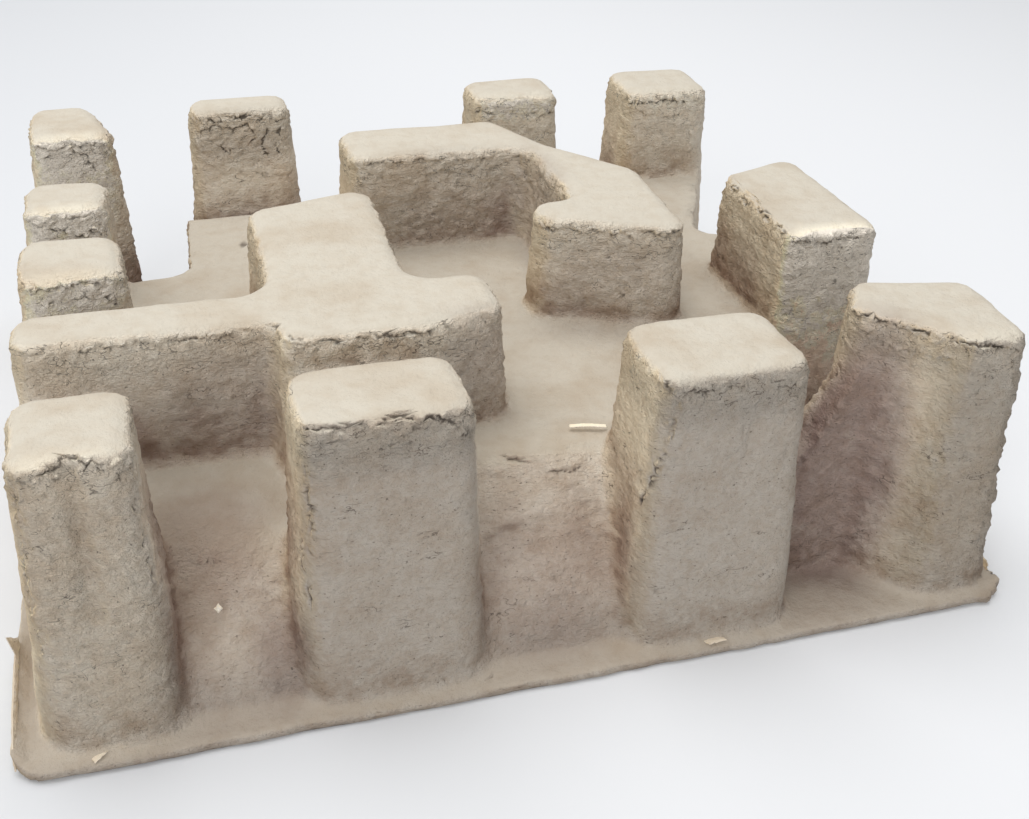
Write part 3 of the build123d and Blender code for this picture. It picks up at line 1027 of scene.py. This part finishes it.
class NodeBoard:
    """Lays out shader nodes in a tree and joins them."""

    def __init__(self, tree: bpy.types.NodeTree) -> None:
        """Keeps the tree that the nodes go into."""
        self.tree = tree

    def add(self, kind: str, inputs: dict | None = None, **settings: object) -> bpy.types.Node:
        """Adds a node.

        Args:
            kind: the node's type, such as ShaderNodeMath.
            inputs: a value or an output socket for each input, by name or number.
            settings: the node's own settings.

        Returns:
            The node.
        """
        node = self.tree.nodes.new(kind)
        for name, value in settings.items():
            setattr(node, name, value)
        for name, value in (inputs or {}).items():
            socket = node.inputs[name]
            if isinstance(value, Socket):
                self.tree.links.new(value, socket)
            else:
                socket.default_value = value
        return node

    def math(self, operation: str, *values: Socket | float) -> Socket:
        """A math node of the values, as its output socket."""
        return self.add("ShaderNodeMath", dict(enumerate(values)), operation=operation).outputs[0]

    def scaled(self, vector: Socket, factors: tuple) -> Socket:
        """A vector multiplied by a factor for each axis."""
        node = self.add("ShaderNodeVectorMath", {0: vector, 1: factors}, operation="MULTIPLY")
        return node.outputs[0]

    def noise(self, vector: Socket, scale: float, detail: float, rough: float) -> Socket:
        """A noise texture's value, from 0 to 1."""
        inputs = {"Vector": vector, "Scale": scale, "Detail": detail, "Roughness": rough}
        return self.add("ShaderNodeTexNoise", inputs).outputs["Fac"]

    def mapped(self, value: Socket, low: float, high: float, out_low: float = 0.0,
               out_high: float = 1.0) -> Socket:
        """A value's smooth step from one range to another."""
        inputs = {"Value": value, "From Min": low, "From Max": high, "To Min": out_low,
                  "To Max": out_high}
        node = self.add("ShaderNodeMapRange", inputs, interpolation_type="SMOOTHSTEP")
        return node.outputs[0]

    def mixed(self, share: Socket, first: Socket | tuple, second: Socket | tuple) -> Socket:
        """Two colours mixed by a share."""
        node = self.add("ShaderNodeMix", {0: share, 6: first, 7: second}, data_type="RGBA")
        return node.outputs[2]

    def tinted(self, share: Socket, colour: Socket | tuple, factor: tuple) -> Socket:
        """A colour multiplied by another, by a share."""
        node = self.add("ShaderNodeMix", {0: share, 6: colour, 7: factor}, data_type="RGBA",
                        blend_type="MULTIPLY")
        return node.outputs[2]


class Effect:
    """A shader effect as a node group: built once, for any finish to share."""

    made: dict = {}

    @classmethod
    def group(cls, name: str, inputs: dict, outputs: tuple) -> tuple:
        """Starts a group with float inputs and outputs and a Vector input.

        Args:
            name: the group's name.
            inputs: the default of each float input, by name.
            outputs: the names of the float outputs.

        Returns:
            The group, its board, its input node and its output node.
        """
        tree = bpy.data.node_groups.new(name, "ShaderNodeTree")
        tree.interface.new_socket("Vector", in_out="INPUT", socket_type="NodeSocketVector")
        for label, value in inputs.items():
            made = tree.interface.new_socket(label, in_out="INPUT", socket_type="NodeSocketFloat")
            made.default_value = value
        for label in outputs:
            tree.interface.new_socket(label, in_out="OUTPUT", socket_type="NodeSocketFloat")
        board = NodeBoard(tree)
        start = board.add("NodeGroupInput")
        end = board.add("NodeGroupOutput")
        cls.made[name] = tree
        return tree, board, start, end

    @classmethod
    def grain(cls) -> bpy.types.NodeTree:
        """Felted grain: soft lumps, matted felt, and small ragged pits where a noise peaks."""
        if "pulp_grain" in cls.made:
            return cls.made["pulp_grain"]
        tree, board, start, end = cls.group(
            "pulp_grain", {"Flatten": 1.6, "Pit Level": 0.69}, ("Height", "Felt", "Pits"))
        place = cls.flattened(board, start)
        lumps = board.noise(place, scale=0.13, detail=2.0, rough=0.5)
        fine = board.noise(place, scale=0.62, detail=3.0, rough=0.7)
        height = board.math("MULTIPLY_ADD", lumps, 1.6, fine)
        ragged = board.noise(place, scale=0.80, detail=1.5, rough=0.6)
        level = start.outputs["Pit Level"]
        pits = board.mapped(board.math("SUBTRACT", ragged, level), 0.0, 0.05)
        felt = board.noise(place, scale=0.27, detail=4.0, rough=0.75)
        tree.links.new(felt, end.inputs["Felt"])
        tree.links.new(height, end.inputs["Height"])
        tree.links.new(pits, end.inputs["Pits"])
        return tree

    @staticmethod
    def flattened(board: NodeBoard, start: bpy.types.Node) -> Socket:
        """The group's place with its height multiplied, so that patterns lie across a wall."""
        axes = board.add("ShaderNodeSeparateXYZ", {0: start.outputs["Vector"]}).outputs
        height = board.math("MULTIPLY", axes[2], start.outputs["Flatten"])
        return board.add("ShaderNodeCombineXYZ", {0: axes[0], 1: axes[1], 2: height}).outputs[0]

    @classmethod
    def wrinkles(cls) -> bpy.types.NodeTree:
        """Short thin wrinkles: where a noise crosses its middle, and a second noise is high."""
        if "pulp_wrinkles" in cls.made:
            return cls.made["pulp_wrinkles"]
        tree, board, start, end = cls.group(
            "pulp_wrinkles", {"Flatten": 2.2, "Width": 0.010, "Amount": 0.5}, ("Line",))
        place = cls.flattened(board, start)
        waves = board.noise(place, scale=0.105, detail=2.6, rough=0.62)
        off = board.math("ABSOLUTE", board.math("SUBTRACT", waves, 0.5))
        line = board.mapped(board.math("DIVIDE", off, start.outputs["Width"]), 1.0, 0.25)
        chance = board.noise(place, scale=0.062, detail=1.5, rough=0.6)
        level = board.math("SUBTRACT", 1.0, start.outputs["Amount"])
        shown = board.mapped(board.math("SUBTRACT", chance, level), -0.01, 0.05)
        tree.links.new(board.math("MULTIPLY", line, shown), end.inputs["Line"])
        return tree


@dataclass(frozen=True)
class PulpFinish:
    """Dry moulded pulp: matt and felted, cream on top; painted shade makes it greyer in front and
    browner in recesses.
    """

    name: str = "moulded_pulp"
    top: tuple = (0.620, 0.568, 0.475, 1.0)
    deck: tuple = (0.540, 0.485, 0.400, 1.0)
    plate: tuple = (0.465, 0.405, 0.332, 1.0)
    wall: tuple = (0.780, 0.700, 0.585, 1.0)
    # Painted shade, darker and greyer, for the front row's fronts
    front: tuple = (0.628, 0.622, 0.638, 1.0)
    # Painted shade, with some of the pulp's own brown, for sheltered recesses
    recess_brown_and_shade: tuple = (0.56, 0.48, 0.48, 1.0)
    # Real stains and painted shade, where the tone is above 0
    soil_and_shade: tuple = (0.50, 0.43, 0.44, 1.0)
    # Painted light near the tops and on paler patches, and the flakes' own paler colour
    pale_and_painted_light: tuple = (1.90, 1.90, 1.82, 1.0)
    # Painted shade at the feet of walls
    foot: tuple = (0.62, 0.53, 0.46, 1.0)
    stain: tuple = (0.82, 0.74, 0.66, 1.0)
    # Painted light on walls that face left
    painted_left_light: tuple = (1.0, 0.94, 0.80, 1.0)
    # Painted shade in wrinkle creases, tear grooves and pits
    dark: tuple = (0.085, 0.065, 0.050, 1.0)
    palest: tuple = (0.94, 0.855, 0.735)
    roughness: float = 0.96
    specular: float = 0.2
    bump: float = 0.74
    wrinkle_shown: float = 0.62
    crack_shown: float = 0.78

    def material(self) -> bpy.types.Material:
        """Builds the finish as a node material."""
        made = bpy.data.materials.new(self.name)
        made.use_nodes = True
        board = NodeBoard(made.node_tree)
        shader = made.node_tree.nodes["Principled BSDF"]
        shader.inputs["Roughness"].default_value = self.roughness
        shader.inputs["Specular IOR Level"].default_value = self.specular
        place = board.add("ShaderNodeTexCoord").outputs["Object"]
        place = board.scaled(place, (1.0 / MM,) * 3)
        normal = board.add("ShaderNodeNewGeometry").outputs["Normal"]
        facing = board.add("ShaderNodeSeparateXYZ", {0: normal}).outputs
        flat = board.mapped(facing[2], 0.50, 0.93)
        grain = board.add("ShaderNodeGroup", {"Vector": place}, node_tree=Effect.grain())
        lines = self.lines(board, place, facing, flat)
        walls = board.math("MULTIPLY_ADD", flat, -0.55, 0.58)
        marks = board.math("MAXIMUM", lines, board.math("MULTIPLY", grain.outputs["Pits"], walls))
        colour = self.colours(board, place, facing, flat)
        # Painted shade: wrinkle creases, tear grooves and pits are mixed towards near-black
        colour = board.mixed(marks, colour, self.dark)
        made.node_tree.links.new(colour, shader.inputs["Base Color"])
        steep = board.math("MULTIPLY_ADD", flat, -0.62, 1.0)
        crust = self.attribute(board, "crust")
        coarse = board.math("MULTIPLY_ADD", crust, 5.5, 3.0)
        rise = board.math("MULTIPLY_ADD", grain.outputs["Felt"], coarse, grain.outputs["Height"])
        rise = board.math("MULTIPLY", rise, board.math("MULTIPLY", steep, self.bump))
        rise = board.math("MULTIPLY_ADD", marks, -0.45, rise)
        bump = board.add("ShaderNodeBump", {"Strength": 1.0, "Distance": MM, "Height": rise})
        made.node_tree.links.new(bump.outputs[0], shader.inputs["Normal"])
        return made

    @staticmethod
    def attribute(board: NodeBoard, name: str) -> Socket:
        """A value that the shell's points carry."""
        return board.add("ShaderNodeAttribute", attribute_name=name).outputs["Fac"]

    def lines(
        self, board: NodeBoard, place: Socket, facing: bpy.types.bpy_prop_collection, flat: Socket
    ) -> Socket:
        """How dark the thin lines are: wrinkles, more of them round the top edges, and tears.
        Their darkness is painted shade in the creases and grooves.

        Args:
            board: the material's board.
            place: the place, in millimetres.
            facing: the parts of the normal.
            flat: 1 on level faces and 0 on walls.

        Returns:
            The lines' mask.
        """
        height = board.add("ShaderNodeSeparateXYZ", {0: place}).outputs[2]
        rim = board.mapped(height, PulpShell.tower_height - 20.0, PulpShell.tower_height - 7.0)
        edge = board.math("MULTIPLY", rim, board.mapped(facing[2], 0.95, 0.80))
        crust = board.math("MULTIPLY", self.attribute(board, "crust"), 0.35)
        edge = board.math("MAXIMUM", edge, crust)
        amount = board.math("MULTIPLY_ADD", edge, 0.19, 0.37)
        amount = board.math("MULTIPLY_ADD", flat, -0.20, amount)
        thin = board.add("ShaderNodeGroup", {"Vector": place, "Amount": amount},
                         node_tree=Effect.wrinkles())
        crack = board.mapped(self.attribute(board, "crack"), 0.12, 0.75, 0.0, self.crack_shown)
        thin = board.math("MULTIPLY", thin.outputs["Line"], self.wrinkle_shown)
        return board.math("MAXIMUM", thin, crack)

    def colours(
        self, board: NodeBoard, place: Socket, facing: bpy.types.bpy_prop_collection, flat: Socket
    ) -> Socket:
        """The pulp's colour, without its marks.

        Level faces are cream at the top and browner the lower they lie. Walls get painted shade:
        brown where they are sheltered, partly the pulp's own brown, browner at their feet, and
        greyer on the front row's fronts. They get painted light: yellowish where they face left
        and paler near the top edges. The tone browns real stains and painted shade, and pales with
        painted light.

        Args:
            board: the material's board.
            place: the place, in millimetres.
            facing: the parts of the normal.
            flat: 1 on level faces and 0 on walls.

        Returns:
            The colour.
        """
        axes = board.add("ShaderNodeSeparateXYZ", {0: place}).outputs
        patches = board.noise(place, scale=0.030, detail=3.0, rough=0.58)
        blotches = board.noise(place, scale=0.17, detail=3.0, rough=0.65)
        uneven = board.math("MULTIPLY_ADD", blotches, 0.5, board.math("MULTIPLY", patches, 0.9))
        level = board.mixed(board.mapped(axes[2], 6.0, 60.0), self.plate, self.deck)
        level = board.mixed(board.mapped(axes[2], 70.0, 98.0), level, self.top)
        # Painted shade: the front row's walls that face the front are tinted darker and greyer
        ahead = board.math("MULTIPLY", facing[1], -1.0)
        front = board.math("MULTIPLY", board.mapped(ahead, 0.1, 0.6),
                           board.mapped(axes[1], CORNER[1] + 26.0, CORNER[1] + 12.0))
        wall = board.tinted(front, self.wall, self.front)
        # Painted light: walls that face left are tinted warm yellow, less where the tone is high
        left = board.mapped(board.math("MULTIPLY", facing[0], -1.0), 0.35, 0.95, 0.0, 0.8)
        untoned = board.mapped(self.attribute(board, "tone"), 0.0, 0.8, 1.0, 0.0)
        left = board.math("MULTIPLY", left, untoned)
        wall = board.tinted(left, wall, self.painted_left_light)
        mottled = board.noise(place, scale=0.33, detail=4.0, rough=0.75)
        mottled = board.mapped(mottled, 0.42, 0.62, 0.0, 0.34)
        wall = board.tinted(mottled, wall, self.stain)
        # Painted light: walls are tinted paler towards the towers' top edges, below a ragged line
        rim = board.math("MULTIPLY_ADD", uneven, 16.0, axes[2])
        wall = board.tinted(board.mapped(rim, 100.0, 113.0, 0.0, 0.20), wall, self.pale_and_painted_light)
        colour = board.mixed(flat, wall, level)
        # Painted shade, partly the pulp's own brown: where the surroundings hide much of the sky,
        # walls are tinted brown-mauve, leaning and level faces less
        leaning = board.mapped(facing[2], 0.25, 0.50)
        shelter = board.math("MULTIPLY_ADD", uneven, 0.30, self.attribute(board, "shelter"))
        recess_shade_share = board.math("MULTIPLY_ADD", leaning, -0.45, 1.0)
        recess_shade_share = board.math("MULTIPLY_ADD", flat, -0.75, recess_shade_share)
        recess_shade_share = board.math("MULTIPLY", board.mapped(shelter, 0.42, 0.82), recess_shade_share)
        colour = board.tinted(recess_shade_share, colour, self.recess_brown_and_shade)
        # The tone: above 0 a browner tint, partly real stains and partly painted shade; below 0 a
        # paler tint, painted light, and on the flakes also their own paler colour
        tone = board.math("MULTIPLY", self.attribute(board, "tone"),
                          board.mapped(uneven, 0.25, 0.75, 0.65, 1.15))
        colour = board.tinted(tone, colour, self.soil_and_shade)
        colour = board.tinted(board.math("MULTIPLY", tone, -1.0), colour, self.pale_and_painted_light)
        # Painted shade: the feet of steep walls are tinted browner, in ragged patches
        foot = board.math("MULTIPLY", self.attribute(board, "foot"),
                          board.mapped(uneven, 0.50, 0.82))
        colour = board.tinted(foot, colour, self.foot)
        colour = board.tinted(board.mapped(patches, 0.45, 0.70, 0.0, 0.5), colour, self.stain)
        colour = board.tinted(board.mapped(blotches, 0.40, 0.70, 0.0, 0.25), colour, self.stain)
        bounds = {0: colour, 1: self.palest}
        return board.add("ShaderNodeVectorMath", bounds, operation="MINIMUM").outputs[0]


@dataclass(frozen=True)
class Studio:
    """A pale floor, soft lamps, and the camera at the photograph's viewing angle."""

    eye: tuple = (-109.7, -447.75, 303.4)
    view: tuple = (0.2521, 0.8074, -0.5335)
    roll_degrees: float = 1.86
    lens: float = 44.52
    sensor: float = 36.0
    floor_reach: float = 4000.0
    # The floor's colour from left to right: painted light makes it paler at the right
    floor_left: tuple = (0.700, 0.712, 0.730, 1.0)
    floor_right: tuple = (0.815, 0.825, 0.840, 1.0)
    floor_fade: float = 300.0
    floor_roughness: float = 0.9
    sky: tuple = (0.97, 0.98, 1.0, 1.0)
    sky_strength: float = 0.48
    aim: tuple = (0.0, 0.0, 50.0)
    lamps: tuple = (
        ("lamp_above", (-200.0, 250.0, 1500.0), 1500.0, 18.7),
        ("lamp_front", (-900.0, -1500.0, 1000.0), 1200.0, 13.4),
    )

    def build(self) -> None:
        """Makes the floor, the world, the lamps and the camera."""
        self.floor()
        self.world()
        for name, place, width, watts in self.lamps:
            self.lamp(name, place, width, watts)
        self.camera()
        bpy.context.scene.view_settings.view_transform = "Standard"

    def camera(self) -> None:
        """Sets the camera at the eye, looking along the view and rolled about it."""
        ahead = Vector(self.view).normalized()
        right = ahead.cross(Vector((0.0, 0.0, 1.0))).normalized()
        right = Matrix.Rotation(-math.radians(self.roll_degrees), 3, ahead) @ right
        up = right.cross(ahead)
        data = bpy.data.cameras.new("camera")
        data.lens = self.lens
        data.sensor_width = self.sensor
        made = bpy.data.objects.new("camera", data)
        axes = Matrix((right, up, -ahead)).transposed()
        made.matrix_world = Matrix.Translation(Vector(self.eye) * MM) @ axes.to_4x4()
        bpy.context.scene.collection.objects.link(made)
        bpy.context.scene.camera = made

    def floor(self) -> None:
        """Makes the floor: one wide square on the ground, with painted light that makes it a
        little paler towards the right.
        """
        corners = np.array([(-1, -1, 0), (1, -1, 0), (1, 1, 0), (-1, 1, 0)]) * self.floor_reach
        made = MeshData(corners, [(0, 1, 2, 3)]).to_object("floor")
        material = bpy.data.materials.new("floor")
        material.use_nodes = True
        shader = material.node_tree.nodes["Principled BSDF"]
        board = NodeBoard(material.node_tree)
        place = board.add("ShaderNodeTexCoord").outputs["Object"]
        across = board.add("ShaderNodeSeparateXYZ", {0: place}).outputs[0]
        share = board.mapped(across, -self.floor_fade * MM, self.floor_fade * MM)
        # Painted light: the floor grows paler from left to right
        colour = board.mixed(share, self.floor_left, self.floor_right)
        material.node_tree.links.new(colour, shader.inputs["Base Color"])
        shader.inputs["Roughness"].default_value = self.floor_roughness
        made.data.materials.append(material)

    def world(self) -> None:
        """Lights the scene evenly from all round."""
        world = bpy.data.worlds.new("studio")
        world.use_nodes = True
        back = world.node_tree.nodes["Background"]
        back.inputs["Color"].default_value = self.sky
        back.inputs["Strength"].default_value = self.sky_strength
        bpy.context.scene.world = world

    def lamp(self, name: str, place: tuple, width: float, watts: float) -> None:
        """Makes one square lamp that faces the middle of the part."""
        data = bpy.data.lights.new(name, "AREA")
        data.size = width * MM
        data.energy = watts
        made = bpy.data.objects.new(name, data)
        made.location = Vector(place) * MM
        towards = Vector(self.aim) * MM - made.location
        made.rotation_euler = towards.to_track_quat("-Z", "Y").to_euler()
        bpy.context.scene.collection.objects.link(made)


def report(piece: bpy.types.Object) -> None:
    """Logs a finished piece with its number of triangles."""
    piece.data.calc_loop_triangles()
    LOG.info("%s: %d triangles", piece.name, len(piece.data.loop_triangles))


def main() -> None:
    """Builds the finish, the shell, the flakes and the studio, in order."""
    logging.basicConfig(level=logging.INFO, format="%(name)s %(message)s")
    finish = PulpFinish().material()
    shell = PulpShell().build()
    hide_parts(NODE)
    for piece in (shell, PulpFlakes().build()):
        piece.data.materials.append(finish)
        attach(piece, BODY)
        report(piece)
    Studio().build()


if __name__ == "__main__":
    main()
